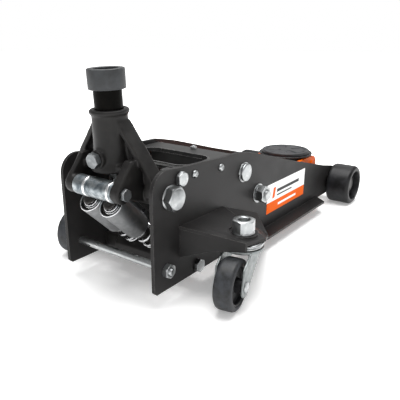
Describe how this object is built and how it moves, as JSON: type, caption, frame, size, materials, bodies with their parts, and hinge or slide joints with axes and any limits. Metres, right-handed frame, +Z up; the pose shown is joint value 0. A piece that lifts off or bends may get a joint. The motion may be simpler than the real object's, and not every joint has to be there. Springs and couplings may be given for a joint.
{
  "type": "hydraulic trolley jack",
  "caption": "Low hydraulic trolley jack with a pumping handle yoke, lift arm with level saddle, front wheels and swivel casters.",
  "frame": {"origin": "middle of the bottom of the whole jack, on the floor", "axes": "+X towards the saddle and front wheels, +Y to the left side, +Z up"},
  "size_m": [0.6234, 0.35, 0.292],
  "materials": {
    "powder_black": "satin powder coat",
    "cast_black": "painted casting",
    "zinc": "zinc plated",
    "ground_steel": "ground bright steel",
    "cup_steel": "satin nickel",
    "orange": "orange enamel",
    "tyre_rubber": "moulded rubber",
    "nylon_black": "moulded nylon",
    "rubber": "moulded rubber",
    "tube_black": "gloss enamel",
    "label": "printed film"
  },
  "bodies": {
    "frame": {"side_plate_right": "powder_black", "side_plate_left": "powder_black", "caster_bracket_right": "powder_black", "caster_bracket_left": "powder_black", "top_cover": "powder_black", "cover_screws": "zinc", "tie_rod": "zinc", "tie_rod_nuts": "zinc", "frame_bolts": "zinc", "handle_bolts": "zinc", "handle_spacers": "zinc", "pump_block": "cast_black", "pump_barrels": "ground_steel", "ram_cylinder": "cast_black", "filler_plug": "rubber", "arm_shaft": "zinc", "arm_shaft_collars": "zinc", "cross_shaft": "zinc", "cross_shaft_nuts": "zinc", "front_axle": "zinc", "front_spreader": "cast_black", "axle_rings": "zinc", "link_anchors": "cast_black", "side_labels": "label", "pump_spring_right": "ground_steel", "pump_spring_left": "ground_steel", "caster_stems": "zinc", "caster_nuts": "zinc", "caster_races": "zinc"},
    "yoke": {"handle_yoke": "cast_black", "lever_pin": "zinc", "socket_bolt": "zinc"},
    "roller": {"lever_roller": "zinc"},
    "handle": {"handle_tube": "tube_black", "handle_sleeve": "rubber", "release_driver": "zinc"},
    "release": {"release_spindle": "zinc"},
    "pump_right": {"pump_cup_right": "cup_steel", "pump_plunger_right": "ground_steel"},
    "pump_left": {"pump_cup_left": "cup_steel", "pump_plunger_left": "ground_steel"},
    "arm": {"lift_arm": "orange", "arm_lever_pin": "zinc", "saddle_pin": "zinc"},
    "ram": {"ram_rod": "ground_steel"},
    "links": {"link_rods": "zinc"},
    "holder": {"saddle_holder": "cast_black", "link_pin": "zinc"},
    "saddle": {"saddle_cup": "cast_black", "saddle_pad": "rubber"},
    "caster_right": {"caster_fork_right": "zinc", "caster_axle_right": "zinc"},
    "caster_left": {"caster_fork_left": "zinc", "caster_axle_left": "zinc"},
    "caster_wheel_right": {"caster_hub_right": "nylon_black", "caster_tyre_right": "tyre_rubber"},
    "caster_wheel_left": {"caster_hub_left": "nylon_black", "caster_tyre_left": "tyre_rubber"},
    "front_wheel_right": {"front_wheel_right": "nylon_black"},
    "front_wheel_left": {"front_wheel_left": "nylon_black"}
  },
  "joints": [
    {"name": "handle_pump", "type": "hinge", "parent": "frame", "child": "yoke", "pos_m": [-0.25365, 0, 0.1415], "axis": [0, -1, 0], "range_deg": [0, 35]},
    {"name": "roller_spin", "type": "hinge", "parent": "yoke", "child": "roller", "pos_m": [-0.29865, -0.0035, 0.1498], "axis": [0, 1, 0], "continuous": true},
    {"name": "handle_turn", "type": "hinge", "parent": "yoke", "child": "handle", "pos_m": [-0.26405, 0, 0.1415], "axis": [-0.0506, 0, 0.9987], "range_deg": [0, 90]},
    {"name": "release_turn", "type": "hinge", "parent": "frame", "child": "release", "pos_m": [-0.26105, 0, 0.1385], "axis": [-0.7218, 0, 0.6921], "range_deg": [0, 90]},
    {"name": "pump_right_slide", "type": "slide", "parent": "frame", "child": "pump_right", "axis": [0.7218, 0, -0.6921], "range_m": [0, 0.02174], "deforming": ["pump_spring_right"]},
    {"name": "pump_left_slide", "type": "slide", "parent": "frame", "child": "pump_left", "axis": [0.7218, 0, -0.6921], "range_m": [0, 0.02174], "deforming": ["pump_spring_left"]},
    {"name": "arm_lift", "type": "hinge", "parent": "frame", "child": "arm", "pos_m": [-0.08265, 0, 0.136], "axis": [0, -1, 0], "range_deg": [0, 55]},
    {"name": "ram_slide", "type": "slide", "parent": "frame", "child": "ram", "axis": [1, 0, 0], "range_m": [0, 0.04254]},
    {"name": "link_swing", "type": "hinge", "parent": "frame", "child": "links", "pos_m": [-0.07265, 0, 0.112], "axis": [0, -1, 0], "range_deg": [0, 55]},
    {"name": "holder_level", "type": "hinge", "parent": "arm", "child": "holder", "pos_m": [0.24135, 0, 0.074], "axis": [0, -1, 0], "range_deg": [-55, 0]},
    {"name": "saddle_spin", "type": "hinge", "parent": "holder", "child": "saddle", "pos_m": [0.21935, 0, 0.09], "axis": [0, 0, 1], "continuous": true},
    {"name": "caster_right_swivel", "type": "hinge", "parent": "frame", "child": "caster_right", "pos_m": [-0.18565, -0.1455, 0.07], "axis": [0, 0, 1], "range_deg": [-22, 120]},
    {"name": "caster_right_roll", "type": "hinge", "parent": "caster_right", "child": "caster_wheel_right", "pos_m": [-0.22295, -0.15275, 0.034], "axis": [-0.1908, 0.9816, 0], "continuous": true},
    {"name": "caster_left_swivel", "type": "hinge", "parent": "frame", "child": "caster_left", "pos_m": [-0.18565, 0.1455, 0.07], "axis": [0, 0, 1], "range_deg": [-131, 2]},
    {"name": "caster_left_roll", "type": "hinge", "parent": "caster_left", "child": "caster_wheel_left", "pos_m": [-0.22295, 0.13825, 0.034], "axis": [-0.1908, 0.9816, 0], "continuous": true},
    {"name": "front_right_roll", "type": "hinge", "parent": "frame", "child": "front_wheel_right", "pos_m": [0.27235, -0.109, 0.0388], "axis": [0, 1, 0], "continuous": true},
    {"name": "front_left_roll", "type": "hinge", "parent": "frame", "child": "front_wheel_left", "pos_m": [0.27235, 0.109, 0.0388], "axis": [0, 1, 0], "continuous": true}
  ],
  "couplings": [
    {"joint": "pump_right_slide", "follows": "handle_pump", "m_per_rad": 0.035428},
    {"joint": "pump_left_slide", "follows": "handle_pump", "m_per_rad": 0.035428},
    {"joint": "release_turn", "follows": "handle_turn", "ratio": 1},
    {"joint": "ram_slide", "follows": "arm_lift", "m_per_rad": 0.044212},
    {"joint": "link_swing", "follows": "arm_lift", "ratio": 1},
    {"joint": "holder_level", "follows": "arm_lift", "ratio": -1}
  ]
}
